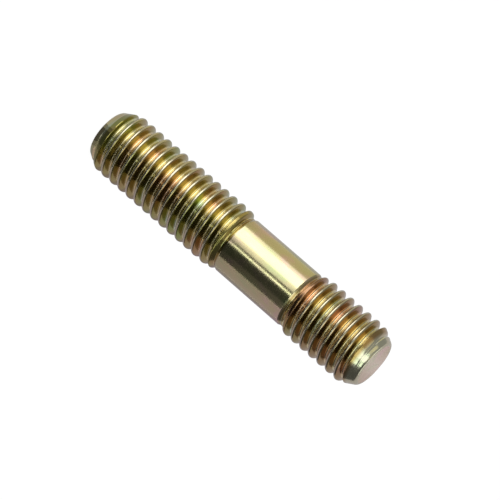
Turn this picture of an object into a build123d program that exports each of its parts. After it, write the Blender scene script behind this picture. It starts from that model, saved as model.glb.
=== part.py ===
from build123d import *
import math
import os

# A double ended stud, turned and thread rolled from one steel bar.
# It stands on the end of its long thread, centred on the origin. Millimetres, +Z up.

# Threads: 60 degree metric, right hand, the same form on both ends.
# A thread's crest passes the +X side at these heights above its lower end.
thread_pitch = 1.25
crest_diameter = 7.8
crest_flat = 0.36
flank_angle = 30.0
long_crest_height = 0.44
short_crest_height = 1.35

# Lengths along the stud, from the lower end upward
long_thread_length = 19.8
shank_length = 9.2
short_thread_length = 11.0

# Plain shank between the threads
shank_diameter = 7.0
shank_chamfer_length = 0.4
shank_chamfer_depth = 0.2

# Chamfered ends
end_face_diameter = 5.7
end_chamfer_angle = 30.0

# Where each thread runs out at the shank
runout_length = 2.0
last_crest_rise = 0.22
last_crest_fall = 0.4
groove_fade_start = 0.7
groove_fade_end = 0.0

# How the grooves are cut
groove_clearance = 0.1
cutter_clearance = 1.0

flank_slope = math.tan(math.radians(flank_angle))
thread_depth = (thread_pitch - crest_flat) / 2 / flank_slope
crest_radius = crest_diameter / 2
root_radius = crest_radius - thread_depth
open_radius = crest_radius + groove_clearance
shank_radius = shank_diameter / 2
neck_radius = shank_radius - shank_chamfer_depth
last_crest_radius = shank_radius + last_crest_rise
overall_length = long_thread_length + shank_length + short_thread_length
overrun = 3 * thread_pitch

def turned(profile):
    """A solid turned from (radius, height) points, its seam on the -X side."""
    corners = [(-radius, 0, height) for radius, height in profile]
    return revolve(make_face(Polyline(*corners, close=True)), Axis.Z)

def upside_down(profile):
    """The same profile for the other end of the stud."""
    return [(radius, overall_length - height) for radius, height in reversed(profile)]

def blank_end(length):
    """Profile of the bar before its thread is cut, from past its end up to the shank."""
    return [
        (0, -overrun),
        (crest_radius, -overrun),
        (crest_radius, length - runout_length),
        (last_crest_radius, length - shank_chamfer_length - last_crest_fall),
        (neck_radius, length - shank_chamfer_length),
        (shank_radius, length),
    ]

def groove_stop(length):
    """Profile that a thread's groove may not enter: it lifts the groove out at the shank."""
    return [
        (0, -2 * overrun),
        (root_radius - groove_clearance, -2 * overrun),
        (root_radius - groove_clearance, length - groove_fade_start),
        (open_radius + groove_clearance, length - groove_fade_end),
        (open_radius + groove_clearance, length + 2 * thread_pitch),
        (0, length + 2 * thread_pitch),
    ]

def end_cutter():
    """Profile of what is faced and chamfered off an end of the threaded bar."""
    end_radius = end_face_diameter / 2
    outer_radius = crest_radius + cutter_clearance
    chamfer_height = (outer_radius - end_radius) / math.tan(math.radians(end_chamfer_angle))
    return [
        (0, -2 * overrun),
        (outer_radius, -2 * overrun),
        (outer_radius, chamfer_height),
        (end_radius, 0),
        (0, 0),
    ]

def groove_turn(bottom):
    """One turn of right hand V groove, its root rising from this height on the +X side."""
    spread = (open_radius - root_radius) * flank_slope
    edges = []
    for radius, rise in ((root_radius, 0), (open_radius, spread), (open_radius, -spread)):
        edges.append(Edge.make_helix(thread_pitch, thread_pitch, radius, (0, 0, bottom + rise)))
    following = edges[1:] + edges[:1]
    faces = [Face.make_surface_from_curves(one, other) for one, other in zip(edges, following)]
    for place in (0, 1):
        faces.append(Face(Wire.make_polygon([edge @ place for edge in edges])))
    return Solid(Shell(faces))

def thread_groove(lower, upper, crest_height, stop):
    """The turns of groove from one height to another, each lifted out at the shank."""
    root_height = lower + crest_height + thread_pitch / 2
    first = -math.ceil(crest_height / thread_pitch) - 1
    last = math.ceil((upper - root_height) / thread_pitch)
    turns = []
    for turn in range(first, last):
        lifted = groove_turn(root_height + turn * thread_pitch) - stop
        if lifted:
            turns.extend(lifted.solids())
    return turns

def make_stud():
    """The turned bar with both threads cut in it and its ends chamfered."""
    bar = turned(blank_end(long_thread_length) + upside_down(blank_end(short_thread_length)))
    long_stop = turned(groove_stop(long_thread_length))
    short_stop = turned(upside_down(groove_stop(short_thread_length)))
    grooves = thread_groove(0, long_thread_length, long_crest_height, long_stop)
    short_start = overall_length - short_thread_length
    grooves += thread_groove(short_start, overall_length, short_crest_height, short_stop)
    threaded = bar.cut(*grooves)
    return threaded - turned(end_cutter()) - turned(upside_down(end_cutter()))

stud = make_stud()
stud.label = "stud"
os.makedirs("parts", exist_ok=True)
export_step(stud, "parts/stud.step")
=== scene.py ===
import math
import bmesh
import bpy
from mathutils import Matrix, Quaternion, Vector


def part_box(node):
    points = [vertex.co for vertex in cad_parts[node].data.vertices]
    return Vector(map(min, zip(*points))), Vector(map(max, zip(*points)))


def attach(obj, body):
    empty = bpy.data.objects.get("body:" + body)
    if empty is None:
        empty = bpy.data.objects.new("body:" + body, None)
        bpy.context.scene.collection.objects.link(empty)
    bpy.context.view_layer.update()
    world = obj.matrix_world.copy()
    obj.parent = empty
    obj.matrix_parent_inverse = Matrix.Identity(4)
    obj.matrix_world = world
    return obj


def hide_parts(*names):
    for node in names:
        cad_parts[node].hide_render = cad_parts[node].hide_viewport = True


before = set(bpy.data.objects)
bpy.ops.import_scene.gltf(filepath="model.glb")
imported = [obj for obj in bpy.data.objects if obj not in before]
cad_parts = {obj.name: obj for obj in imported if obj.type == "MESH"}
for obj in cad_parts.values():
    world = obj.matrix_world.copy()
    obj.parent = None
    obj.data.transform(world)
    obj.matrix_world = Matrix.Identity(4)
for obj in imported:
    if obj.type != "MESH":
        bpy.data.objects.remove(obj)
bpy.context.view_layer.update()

mm = 0.001
lowest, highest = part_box("stud")
overall_length = highest.z - lowest.z
crest_radius = highest.x

# Thread form, the same on both ends. A crest passes the +X side at these heights
# above each thread's lower end.
thread_pitch = 1.25 * mm
crest_flat = 0.26 * mm
root_flat = 0.19 * mm
flank_slope = math.tan(math.radians(30))
sharp_root_radius = crest_radius - (thread_pitch - crest_flat) / 2 / flank_slope
root_radius = sharp_root_radius + root_flat / 2 / flank_slope
long_crest_height = 0.44 * mm
short_crest_height = 1.35 * mm
crest_rounding = 0.12 * mm
root_rounding = 0.09 * mm
rolled_edge = 0.12 * mm

# Lengths along the stud, and the plain shank
long_thread_length = 19.8 * mm
shank_length = 9.2 * mm
short_thread_start = long_thread_length + shank_length
shank_radius = 3.5 * mm
shank_chamfer_length = 0.4 * mm
neck_radius = 3.3 * mm

# Where each thread runs out at the shank
runout_length = 2.0 * mm
last_crest_radius = 3.72 * mm
last_crest_fall = 0.4 * mm
groove_fade_start = 0.7 * mm

# Chamfered ends, rounded over into their flat faces
end_face_radius = 2.85 * mm
end_chamfer_slope = math.tan(math.radians(30))
end_rounding = 0.3 * mm
end_round_radius = end_rounding * math.tan(math.radians(60))
end_round_height = end_rounding * math.cos(math.radians(30))
end_ring = 0.12 * mm

# How finely the mesh is made
steps_a_turn = 96
corner_segments = 4
flank_cuts = 5
shortest_flank = 0.3 * mm
end_round_shares = (0.12, 0.3, 0.55, 0.8, 1.0)
sharp_angle = math.radians(32)

# Points this near each other are one point, lie at one height, or span no face worth keeping
weld = 0.0005 * mm
hair = 0.001 * mm
sliver = 0.002 * mm


# ---------------------------------------------------------------- the stud

def along(stops, height):
    """The radius at a height, straight from one (height, radius) stop to the next."""
    for (low, start), (high, end) in zip(stops, stops[1:]):
        if height <= high:
            share = max(0.0, (height - low) / (high - low))
            return start + (end - start) * share
    return stops[-1][1]


def blank_stops():
    """The bar before its threads, from end to end: its crests fall to a neck at the shank."""
    half = [
        (-overall_length, crest_radius + rolled_edge),
        (-runout_length, crest_radius + rolled_edge),
        (-shank_chamfer_length - last_crest_fall, last_crest_radius),
        (-shank_chamfer_length, neck_radius),
        (0, shank_radius),
    ]
    lower = [(long_thread_length + step, radius) for step, radius in half]
    upper = [(short_thread_start - step, radius) for step, radius in reversed(half)]
    return lower + upper


def groove_stops():
    """How deep the grooves may go: under every root, but lifted out of the bar at the shank."""
    deep, out = root_radius / 2, crest_radius * 1.1
    return [
        (-overall_length, deep),
        (long_thread_length - groove_fade_start, sharp_root_radius),
        (long_thread_length, out),
        (short_thread_start, out),
        (short_thread_start + groove_fade_start, sharp_root_radius),
        (2 * overall_length, deep),
    ]


def lesser(one, other):
    """The smaller of two radii, with a rolled edge where they cross."""
    near = max(rolled_edge - abs(one - other), 0.0) / rolled_edge
    return min(one, other) - near * near * rolled_edge / 4


def greater(one, other):
    """The larger of two radii, with a rolled hollow where they cross."""
    return -lesser(-one, -other)


def end_radius(from_end):
    """The chamfer's radius at a distance from the end, rounded over into the flat face."""
    if from_end >= end_round_height:
        return end_face_radius + from_end * end_chamfer_slope
    up = end_round_radius - from_end
    return end_face_radius - end_rounding + math.sqrt(end_round_radius ** 2 - up ** 2)


def round_corners(bm, radius, size):
    """Rounds the section's corners that lie at a radius."""
    corners = [v for v in bm.verts if len(v.link_edges) == 2 and abs(v.co.x - radius) < hair]
    bmesh.ops.bevel(
        bm, geom=corners, offset=size, offset_type="OFFSET", segments=corner_segments, profile=0.5,
        affect="VERTICES", material=-1,
    )


def thread_section(bm):
    """One pitch of the thread form on the +X side, from root to root."""
    half = thread_pitch / 2
    points = [
        (root_radius, -half),
        (root_radius, root_flat / 2 - half),
        (crest_radius, -crest_flat / 2),
        (crest_radius, crest_flat / 2),
        (root_radius, half - root_flat / 2),
        (root_radius, half),
    ]
    corners = [bm.verts.new((radius, 0, height)) for radius, height in points]
    for pair in zip(corners, corners[1:]):
        bm.edges.new(pair)
    round_corners(bm, crest_radius, crest_rounding)
    round_corners(bm, root_radius, root_rounding)
    flanks = [edge for edge in bm.edges if edge.calc_length() > shortest_flank]
    bmesh.ops.subdivide_edges(bm, edges=flanks, cuts=flank_cuts)


def wind(bm):
    """Spins the section round once, a pitch up, and sets turn on turn into one long screw."""
    turns_below = 2
    turns = math.ceil(overall_length / thread_pitch) + turns_below + 1
    start = long_crest_height - turns_below * thread_pitch
    bmesh.ops.translate(bm, verts=bm.verts[:], vec=(0, 0, start))
    bmesh.ops.spin(
        bm, geom=bm.verts[:] + bm.edges[:], cent=(0, 0, 0), axis=(0, 0, 1),
        dvec=(0, 0, thread_pitch / steps_a_turn), angle=math.tau, steps=steps_a_turn,
    )
    first_turn = bm.verts[:] + bm.edges[:] + bm.faces[:]
    for turn in range(1, turns):
        copied = bmesh.ops.duplicate(bm, geom=first_turn)["geom"]
        verts = [part for part in copied if isinstance(part, bmesh.types.BMVert)]
        bmesh.ops.translate(bm, verts=verts, vec=(0, 0, turn * thread_pitch))
    bmesh.ops.remove_doubles(bm, verts=bm.verts[:], dist=weld)


def slip_short_thread(bm):
    """Moves the upper thread up its bar to where its own crests stand, over the plain shank."""
    apart = short_thread_start + short_crest_height - long_crest_height
    slip = apart - round(apart / thread_pitch) * thread_pitch
    for vert in bm.verts:
        share = (vert.co.z - long_thread_length) / shank_length
        vert.co.z += slip * min(max(share, 0.0), 1.0)


def cut_across(bm, height, above=False, below=False):
    """Cuts every face at a height, and may clear what is above or below it."""
    bmesh.ops.bisect_plane(
        bm, geom=bm.verts[:] + bm.edges[:] + bm.faces[:], dist=weld,
        plane_co=(0, 0, height), plane_no=(0, 0, 1), clear_outer=above, clear_inner=below,
    )


def cut_to_length(bm):
    """Cuts the screw off at both ends, and marks it where its outline turns a corner."""
    cut_across(bm, 0.0, below=True)
    cut_across(bm, overall_length, above=True)
    lower, upper = long_thread_length, short_thread_start
    for height in (lower - shank_chamfer_length, lower, upper, upper + shank_chamfer_length):
        cut_across(bm, height)
    for share in end_round_shares:
        cut_across(bm, end_round_height * share)
        cut_across(bm, overall_length - end_round_height * share)


def turn_down(bm):
    """Brings the long screw to its shank, its run-outs and its chamfered ends."""
    blank, stop = blank_stops(), groove_stops()
    for vert in bm.verts:
        radius = math.hypot(vert.co.x, vert.co.y)
        height = vert.co.z
        from_end = min(height, overall_length - height)
        wanted = lesser(along(blank, height), greater(radius, along(stop, height)))
        wanted = lesser(wanted, end_radius(max(from_end, 0.0)))
        if from_end < hair:
            wanted = end_radius(0.0)
            vert.co.z = 0.0 if height < overall_length / 2 else overall_length
        vert.co.x *= wanted / radius
        vert.co.y *= wanted / radius
    bmesh.ops.dissolve_degenerate(bm, dist=sliver, edges=bm.edges[:])


def close_end(bm, height):
    """Closes an end with its flat face, and a narrow ring round that."""
    rim = [
        edge for edge in bm.edges
        if edge.is_boundary and all(abs(vert.co.z - height) < 10 * hair for vert in edge.verts)
    ]
    face = bmesh.ops.contextual_create(bm, geom=rim)["faces"][0]
    face.material_index = 1
    rings = bmesh.ops.inset_region(bm, faces=[face], thickness=end_ring, depth=0.0)
    for ring in rings["faces"]:
        ring.material_index = 1


def shade(bm):
    """Smooth all over, but for the edges that stay sharp."""
    for face in bm.faces:
        face.smooth = True
    for edge in bm.edges:
        if edge.is_manifold and edge.calc_face_angle() > sharp_angle:
            edge.smooth = False


def make_stud():
    bm = bmesh.new()
    thread_section(bm)
    wind(bm)
    slip_short_thread(bm)
    cut_to_length(bm)
    turn_down(bm)
    close_end(bm, 0.0)
    close_end(bm, overall_length)
    bmesh.ops.recalc_face_normals(bm, faces=bm.faces[:])
    shade(bm)
    return link_mesh("plated_stud", bm)


def link_mesh(name, bm):
    """A mesh made into an object of the scene."""
    mesh = bpy.data.meshes.new(name)
    bm.to_mesh(mesh)
    bm.free()
    piece = bpy.data.objects.new(name, mesh)
    bpy.context.scene.collection.objects.link(piece)
    return piece


# ---------------------------------------------------------------- materials

# The film's clouds, counted to a metre along each axis
drawn_round = (130.0, 130.0, 520.0)
blotches = (330.0, 330.0, 190.0)

# The film where it is thin, middling and thick
# Thread flank tints, olive towards the lower end and bronze towards the upper: real film tints, kept
# darker than the shank's as painted shade in the threads
olive_film_and_painted_shade = ((0.31, 0.36, 0.07), (0.41, 0.33, 0.09), (0.43, 0.25, 0.09))
bronze_film_and_painted_shade = ((0.34, 0.29, 0.07), (0.38, 0.25, 0.07), (0.36, 0.19, 0.09))
# Paler tints for the thread roots: a painted highlight
painted_root_highlight_film = ((0.60, 0.68, 0.50), (0.76, 0.66, 0.34), (0.80, 0.52, 0.32))
shank_film = ((0.50, 0.55, 0.26), (0.60, 0.53, 0.28), (0.68, 0.48, 0.38))
end_film = ((0.60, 0.53, 0.34), (0.70, 0.54, 0.41), (0.74, 0.51, 0.46))
# A pale green tint on the upper chamfer only: a painted highlight
painted_chamfer_highlight_zinc = (0.66, 0.64, 0.46)
# A paler tint on the crests: a painted highlight
painted_crest_highlight_zinc = (0.57, 0.52, 0.37)

# Where one finish passes into the next: two heights, or two radii
olive_to_bronze = (12.0 * mm, 32.0 * mm)
long_thread_to_shank = (long_thread_length - 0.3 * mm, long_thread_length)
short_thread_to_shank = (short_thread_start + 0.3 * mm, short_thread_start)
thread_to_chamfer = (overall_length - 1.3 * mm, overall_length - 0.8 * mm)
root_to_flank = (root_radius + 0.07 * mm, root_radius + 0.16 * mm)
flank_to_crest = (crest_radius - 0.06 * mm, crest_radius)


def add(nodes, kind, settings=(), **inputs):
    """A node with its settings, and values on its named sockets."""
    node = nodes.new(kind)
    for name, value in dict(settings).items():
        setattr(node, name, value)
    for name, value in inputs.items():
        node.inputs[name.replace("_", " ")].default_value = value
    return node


def new_group(name, inputs, outputs):
    """An empty shader group with named sockets, and the nodes that hold them."""
    group = bpy.data.node_groups.new(name, "ShaderNodeTree")
    for way, sockets in (("INPUT", inputs), ("OUTPUT", outputs)):
        for socket, kind in sockets:
            group.interface.new_socket(socket, in_out=way, socket_type="NodeSocket" + kind)
    given = group.nodes.new("NodeGroupInput")
    result = group.nodes.new("NodeGroupOutput")
    return group, given, result


def use(nodes, group, **inputs):
    """A shader group placed in a material, with its own values."""
    return add(nodes, "ShaderNodeGroup", settings={"node_tree": group}, **inputs)


def mixed(nodes, links, share, first, second):
    """Two colours mixed by a share; each is a socket or a plain colour."""
    mix = add(nodes, "ShaderNodeMix", settings={"data_type": "RGBA"})
    first_socket, second_socket, result = mix.inputs[6], mix.inputs[7], mix.outputs[2]
    links.new(share, mix.inputs["Factor"])
    for socket, colour in ((first_socket, first), (second_socket, second)):
        if isinstance(colour, tuple):
            socket.default_value = (*colour, 1)
        else:
            links.new(colour, socket)
    return result


def share_between(nodes, links, value, low, high):
    """Nothing at the low value, all at the high one, smooth between."""
    ramp = add(nodes, "ShaderNodeMapRange", settings={"interpolation_type": "SMOOTHSTEP"},
               From_Min=low, From_Max=high)
    links.new(value, ramp.inputs["Value"])
    return ramp.outputs["Result"]


def film_group():
    """The passivation film: soft clouds of three tints."""
    group, given, result = new_group(
        "film_tints",
        [("Place", "Vector"), ("Thin Film", "Color"), ("Middle Film", "Color"), ("Thick Film", "Color")],
        [("Colour", "Color")],
    )
    nodes, links = group.nodes, group.links
    clouds = add(nodes, "ShaderNodeTexNoise", Scale=1.0, Detail=3.0, Roughness=0.55, Distortion=0.5)
    links.new(given.outputs["Place"], clouds.inputs["Vector"])
    thin_to_middle = share_between(nodes, links, clouds.outputs["Fac"], 0.32, 0.50)
    middle_to_thick = share_between(nodes, links, clouds.outputs["Fac"], 0.50, 0.68)
    colour = mixed(nodes, links, thin_to_middle, given.outputs["Thin Film"], given.outputs["Middle Film"])
    colour = mixed(nodes, links, middle_to_thick, colour, given.outputs["Thick Film"])
    links.new(colour, result.inputs["Colour"])
    return group


def grain_group():
    """Fine grain of the zinc crystals, with a few soft smudges."""
    group, given, result = new_group(
        "zinc_grain",
        [("Place", "Vector"), ("Smoothest", "Float"), ("Dullest", "Float")],
        [("Roughness", "Float"), ("Height", "Float")],
    )
    nodes, links = group.nodes, group.links
    smudge = add(nodes, "ShaderNodeTexNoise", Scale=900.0, Detail=4.0, Roughness=0.7)
    grain = add(nodes, "ShaderNodeTexNoise", Scale=6000.0, Detail=2.0)
    for noise in (smudge, grain):
        links.new(given.outputs["Place"], noise.inputs["Vector"])
    both = add(nodes, "ShaderNodeMath", settings={"operation": "MULTIPLY_ADD"})
    both.inputs[1].default_value = 0.5
    links.new(grain.outputs["Fac"], both.inputs[0])
    links.new(smudge.outputs["Fac"], both.inputs[2])
    dull = add(nodes, "ShaderNodeMapRange", From_Min=0.55, From_Max=0.95)
    links.new(both.outputs["Value"], dull.inputs["Value"])
    links.new(given.outputs["Smoothest"], dull.inputs["To Min"])
    links.new(given.outputs["Dullest"], dull.inputs["To Max"])
    links.new(dull.outputs["Result"], result.inputs["Roughness"])
    links.new(grain.outputs["Fac"], result.inputs["Height"])
    return group


def new_material(name):
    """A material with its nodes, its links and its Principled shader."""
    material = bpy.data.materials.new(name)
    material.use_nodes = True
    nodes = material.node_tree.nodes
    return material, nodes, material.node_tree.links, nodes["Principled BSDF"]


def finish_metal(nodes, links, shader, place, grain, smoothest, dullest, depth):
    """Grain in the roughness and the bump of a plated surface, under a clear film."""
    fine = use(nodes, grain, Smoothest=smoothest, Dullest=dullest)
    links.new(place, fine.inputs["Place"])
    links.new(fine.outputs["Roughness"], shader.inputs["Roughness"])
    bump = add(nodes, "ShaderNodeBump", Strength=0.5, Distance=depth)
    links.new(fine.outputs["Height"], bump.inputs["Height"])
    links.new(bump.outputs["Normal"], shader.inputs["Normal"])
    shader.inputs["Metallic"].default_value = 1.0
    shader.inputs["Coat Weight"].default_value = 0.6
    shader.inputs["Coat Roughness"].default_value = 0.16
    shader.inputs["Coat IOR"].default_value = 1.6


def tinted(nodes, links, film, place, clouds, tints):
    """The film's three tints in clouds counted along each axis."""
    spread = add(nodes, "ShaderNodeMapping", Scale=clouds)
    links.new(place, spread.inputs["Vector"])
    thin, middle, thick = ((*tint, 1) for tint in tints)
    node = use(nodes, film, Thin_Film=thin, Middle_Film=middle, Thick_Film=thick)
    links.new(spread.outputs["Vector"], node.inputs["Place"])
    return node.outputs["Colour"]


def height_and_radius(nodes, links, place):
    """How high on the stud a point lies, and how far from its axis."""
    parts = add(nodes, "ShaderNodeSeparateXYZ")
    links.new(place, parts.inputs["Vector"])
    level = add(nodes, "ShaderNodeVectorMath", settings={"operation": "MULTIPLY"})
    level.inputs[1].default_value = (1, 1, 0)
    links.new(place, level.inputs[0])
    radius = add(nodes, "ShaderNodeVectorMath", settings={"operation": "LENGTH"})
    links.new(level.outputs["Vector"], radius.inputs[0])
    return parts.outputs["Z"], radius.outputs["Value"]


def plated_steel(film, grain):
    """Yellow passivated zinc: deep gold in the threads, darkened there as painted shade; pale on the
    shank; paler in the roots, on the crests and on the upper chamfer as painted highlights.
    """
    material, nodes, links, shader = new_material("yellow_zinc")
    place = add(nodes, "ShaderNodeTexCoord").outputs["Object"]
    height, radius = height_and_radius(nodes, links, place)

    # The thread flanks: film tints darkened as painted shade
    olive = tinted(nodes, links, film, place, drawn_round, olive_film_and_painted_shade)
    bronze = tinted(nodes, links, film, place, drawn_round, bronze_film_and_painted_shade)
    painted_root_highlight = tinted(nodes, links, film, place, drawn_round, painted_root_highlight_film)
    pale = tinted(nodes, links, film, place, blotches, shank_film)

    towards_short_end = share_between(nodes, links, height, *olive_to_bronze)
    colour = mixed(nodes, links, towards_short_end, olive, bronze)
    # The roots take the paler tints as a painted highlight
    out_of_root = share_between(nodes, links, radius, *root_to_flank)
    colour = mixed(nodes, links, out_of_root, painted_root_highlight, colour)
    on_shank = add(nodes, "ShaderNodeMath", settings={"operation": "MULTIPLY"})
    links.new(share_between(nodes, links, height, *long_thread_to_shank), on_shank.inputs[0])
    links.new(share_between(nodes, links, height, *short_thread_to_shank), on_shank.inputs[1])
    colour = mixed(nodes, links, on_shank.outputs["Value"], colour, pale)
    # Only the upper chamfer takes the pale green tint, a painted highlight
    on_chamfer = share_between(nodes, links, height, *thread_to_chamfer)
    colour = mixed(nodes, links, on_chamfer, colour, painted_chamfer_highlight_zinc)
    # The crests take the paler tint as a painted highlight
    on_painted_crest_highlight = share_between(nodes, links, radius, *flank_to_crest)
    colour = mixed(nodes, links, on_painted_crest_highlight, colour, painted_crest_highlight_zinc)
    links.new(colour, shader.inputs["Base Color"])
    finish_metal(nodes, links, shader, place, grain, smoothest=0.15, dullest=0.22, depth=0.0004 * mm)
    return material


def sheared_end(film, grain):
    """The flat ends: duller, with a greyer film."""
    material, nodes, links, shader = new_material("sheared_end")
    place = add(nodes, "ShaderNodeTexCoord").outputs["Object"]
    links.new(tinted(nodes, links, film, place, blotches, end_film), shader.inputs["Base Color"])
    finish_metal(nodes, links, shader, place, grain, smoothest=0.34, dullest=0.48, depth=0.006 * mm)
    return material


# ---------------------------------------------------------------- studio

# Card colours
white = (1, 1, 1)
gold = (1, 0.93, 0.66)
green = (0.85, 1, 0.85)
pale_green = (0.9, 1, 0.9)
lilac = (0.95, 0.84, 0.98)
rose = (1, 0.93, 0.94)

# Places round the stud, as (radius, height) in millimetres: on the floor from the foot out,
# up the wall, and under the roof
foot, step = (0.5, 0.02), (8, 0.02)
close, near, middle, far, edge = (8, 0.4), (33, 0.4), (48, 0.4), (62, 0.4), (70, 0.4)
low, rim, brow, tall, top = (70, 12), (70, 30), (70, 60), (70, 120), (70, 250)
crest_strip_foot, crest_strip_head = (69, 25), (69, 30)
end_strip_foot, end_strip_head = (68, 84), (68, 104)
roof_middle, roof_edge = (1, 250.5), (75, 250.5)

# Degrees that a card turns from one of its facets to the next
card_bend = 4


def glowing(name, colour, level):
    """A card that gives off its own light and reflects none."""
    material, nodes, links, shader = new_material(name)
    shader.inputs["Base Color"].default_value = (0, 0, 0, 1)
    shader.inputs["Roughness"].default_value = 1.0
    shader.inputs["Specular IOR Level"].default_value = 0.0
    shader.inputs["Emission Color"].default_value = (*colour, 1)
    shader.inputs["Emission Strength"].default_value = level
    return material


def seen_straight_or_in_metal(nodes, links):
    """One for the camera's rays and for those that metal or glass sends on, else nothing."""
    rays = add(nodes, "ShaderNodeLightPath")
    seen = rays.outputs["Is Camera Ray"]
    for other in ("Is Glossy Ray", "Is Transmission Ray"):
        either = add(nodes, "ShaderNodeMath", settings={"operation": "MAXIMUM"})
        links.new(seen, either.inputs[0])
        links.new(rays.outputs[other], either.inputs[1])
        seen = either.outputs["Value"]
    return seen


def white_cloth(name, glow_level, lit_share):
    """A white surface that shows as the plain background, and keeps a faint shadow."""
    material, nodes, links, shader = new_material(name)
    nodes.remove(shader)
    cloth = add(nodes, "ShaderNodeBsdfDiffuse", Color=(lit_share, lit_share, lit_share, 1))
    glow = add(nodes, "ShaderNodeEmission", Color=(glow_level, glow_level, glow_level, 1))
    links.new(seen_straight_or_in_metal(nodes, links), glow.inputs["Strength"])
    both = add(nodes, "ShaderNodeAddShader")
    links.new(cloth.outputs["BSDF"], both.inputs[0])
    links.new(glow.outputs["Emission"], both.inputs[1])
    links.new(both.outputs["Shader"], nodes["Material Output"].inputs["Surface"])
    return material


def make_world():
    world = bpy.data.worlds.new("white_room")
    bpy.context.scene.world = world
    world.use_nodes = True
    nodes, links = world.node_tree.nodes, world.node_tree.links
    back = nodes["Background"]
    back.inputs["Color"].default_value = (1, 1, 1, 1)
    level = add(nodes, "ShaderNodeMapRange", To_Min=0.4, To_Max=1.0)
    links.new(seen_straight_or_in_metal(nodes, links), level.inputs["Value"])
    links.new(level.outputs["Result"], back.inputs["Strength"])


def make_floor():
    bm = bmesh.new()
    bmesh.ops.create_grid(bm, x_segments=1, y_segments=1, size=4.0)
    floor = link_mesh("floor", bm)
    floor.data.materials.append(white_cloth("white_floor", glow_level=0.95, lit_share=0.15))


def ring_card(name, bearings, inner, outer, level, colour=white):
    """A card bent round the stud between two bearings from the front, seen in the metal only.

    Its section runs straight from an inner to an outer place.
    """
    start, end = (math.radians(bearing) for bearing in bearings)
    ahead = Vector((math.sin(start), -math.cos(start), 0))
    bm = bmesh.new()
    verts = [
        bm.verts.new(ahead * radius * mm + Vector((0, 0, height * mm)))
        for radius, height in (inner, outer)
    ]
    section = bm.edges.new(verts)
    bmesh.ops.spin(
        bm, geom=verts + [section], cent=(0, 0, 0), axis=(0, 0, 1), angle=end - start,
        steps=max(2, round(math.degrees(end - start) / card_bend)),
    )
    card = link_mesh(name, bm)
    card.data.materials.append(glowing(name, colour, level))
    card.visible_camera = False
    card.visible_diffuse = False
    card.visible_shadow = False


def lay_foot_cards():
    """Close round the foot, for the lower chamfer."""
    ring_card("foot_shade_left", (-180, -30), foot, step, 0.42)
    ring_card("foot_light", (-30, -14), foot, step, 0.42)
    ring_card("foot_fall", (-14, -4), foot, step, 0.2)
    ring_card("foot_shadow", (-4, 34), foot, step, 0.07)
    ring_card("foot_rise", (34, 48), foot, step, 0.16)
    ring_card("foot_shade_right", (48, 180), foot, step, 0.26)


def lay_floor_cards():
    """On the floor: bright on the left, black at the front and right, tinted behind."""
    ring_card("left_rim_low", (-179, -129), close, edge, 0.5)
    ring_card("gold_card_low", (-128, -75), close, near, 0.66, gold)
    ring_card("bronze_card_low", (-128, -75), near, far, 0.36, gold)
    ring_card("gold_card_edge", (-128, -75), far, edge, 0.66, gold)
    ring_card("left_panel_foot", (-74, -64), close, middle, 0.6)
    ring_card("left_panel_close", (-64, -30), close, middle, 2.1)
    ring_card("left_shade", (-30, -19), close, middle, 0.8)
    ring_card("left_shadow", (-19, -5), close, middle, 0.15)
    ring_card("front_shadow", (-5, 13), close, middle, 0.02)
    ring_card("black_flag_close", (13, 74), close, middle, 0.02)
    ring_card("left_panel_far", (-74, -24), middle, edge, 2.3)
    ring_card("left_panel_inner", (-24, -15), middle, edge, 1.5)
    ring_card("left_panel_fall", (-15, -5), middle, edge, 0.3)
    ring_card("front_far", (-5, 12), middle, edge, 0.35)
    ring_card("black_flag_far", (12, 74), middle, edge, 0.02)
    ring_card("lilac_card_low", (75, 128), close, edge, 0.42, lilac)
    ring_card("right_rim_low", (129, 179), close, edge, 0.35, lilac)


def stand_wall_cards():
    """Standing on the floor round the stud, for the shank and the short thread."""
    ring_card("left_rim_tall", (-179, -129), edge, rim, 0.5)
    ring_card("gold_card_tall", (-128, -75), edge, rim, 0.66, gold)
    ring_card("left_panel_dim", (-74, -60), edge, rim, 1.5)
    ring_card("left_panel_tall", (-60, -24), edge, rim, 2.7)
    ring_card("left_panel_end", (-24, -5), edge, low, 1.4)
    ring_card("dark_line", (-5, 3.5), edge, low, 0.01)
    ring_card("light_strip", (4.5, 9.5), edge, low, 3.6, pale_green)
    ring_card("strip_shadow", (9.5, 11.5), edge, low, 0.05)
    ring_card("left_rim_end", (-24, -13), low, rim, 1.4)
    ring_card("left_rim_fall", (-13, -5), low, rim, 0.35)
    ring_card("front_tall", (-5, 12), low, rim, 0.3)
    ring_card("black_flag_tall", (11.5, 46), edge, rim, 0.04, green)
    ring_card("black_flag_end", (46, 72), edge, rim, 0.09)
    ring_card("lilac_card_tall", (73, 128), edge, rim, 0.46, lilac)
    ring_card("right_rim_tall", (129, 179), edge, rim, 0.35, lilac)


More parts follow.
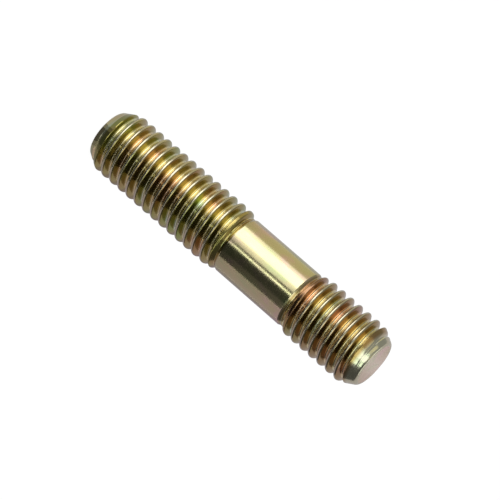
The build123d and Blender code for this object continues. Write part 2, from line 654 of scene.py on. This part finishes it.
def hang_upper_cards():
    """Higher round the stud and over it, for the crests, the upper chamfer and the upper end."""
    ring_card("back_card_left", (-179, -129), rim, tall, 0.52, rose)
    ring_card("back_card_right", (129, 179), rim, tall, 0.46, rose)
    ring_card("left_upper_wall", (-129, -10), rim, top, 0.3)
    ring_card("front_lower_wall", (-10, 24), rim, brow, 0.15)
    ring_card("front_upper_wall", (-10, 24), brow, top, 1.4)
    ring_card("right_upper_wall", (24, 129), rim, top, 0.08)
    ring_card("crest_light", (12, 72), crest_strip_foot, crest_strip_head, 1.4)
    ring_card("end_glow", (-75, -22), end_strip_foot, end_strip_head, 0.8, gold)
    ring_card("end_light", (-22, 50), end_strip_foot, end_strip_head, 2.2, green)
    ring_card("end_shadow", (50, 62), end_strip_foot, end_strip_head, 0.3)
    ring_card("canopy_left", (-180, 0), roof_middle, roof_edge, 0.45, gold)
    ring_card("canopy_right", (0, 180), roof_middle, roof_edge, 0.1)


def lamp(name, bearing, rise, distance, width, height, radiance):
    """A soft box at a bearing from the front and a rise above level, aimed at the stud's middle."""
    light = bpy.data.lights.new(name, "AREA")
    light.shape = "RECTANGLE"
    light.size = width
    light.size_y = height
    light.energy = radiance * math.pi * width * height
    holder = bpy.data.objects.new(name, light)
    bpy.context.scene.collection.objects.link(holder)
    across, up = math.radians(bearing), math.radians(rise)
    away = Vector((math.sin(across) * math.cos(up), -math.cos(across) * math.cos(up), math.sin(up)))
    centre = Vector((0, 0, overall_length / 2))
    holder.location = centre + away * distance
    holder.rotation_mode = "QUATERNION"
    holder.rotation_quaternion = (-away).to_track_quat("-Z", "Y")
    holder.visible_camera = False


def make_camera():
    """In front and a little above, rolled so that the stud lies across the frame."""
    camera = bpy.data.cameras.new("camera")
    holder = bpy.data.objects.new("camera", camera)
    bpy.context.scene.collection.objects.link(holder)
    distance, rise, roll = 0.35, math.radians(17.0), math.radians(131.03)
    centre = Vector((0, 0, overall_length / 2))
    back = Vector((0, -math.cos(rise), math.sin(rise)))
    holder.location = centre + back * distance
    holder.rotation_mode = "QUATERNION"
    holder.rotation_quaternion = (-back).to_track_quat("-Z", "Y") @ Quaternion((0, 0, 1), roll)
    camera.sensor_width = 36
    camera.lens = 232.3
    camera.shift_x = 0.0224
    camera.shift_y = -0.006
    camera.clip_start = 0.01
    camera.clip_end = 20
    bpy.context.scene.camera = holder


stud = make_stud()
film, grain = film_group(), grain_group()
stud.data.materials.append(plated_steel(film, grain))
stud.data.materials.append(sheared_end(film, grain))
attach(stud, "root")
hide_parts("stud")

make_world()
make_floor()
lay_foot_cards()
lay_floor_cards()
stand_wall_cards()
hang_upper_cards()
lamp("front_soft_box", bearing=12, rise=45, distance=0.15, width=0.16, height=0.05, radiance=2.2)
lamp("key_soft_box", bearing=-40, rise=55, distance=0.5, width=0.3, height=0.3, radiance=0.8)
make_camera()

bpy.context.scene.view_settings.view_transform = "Standard"
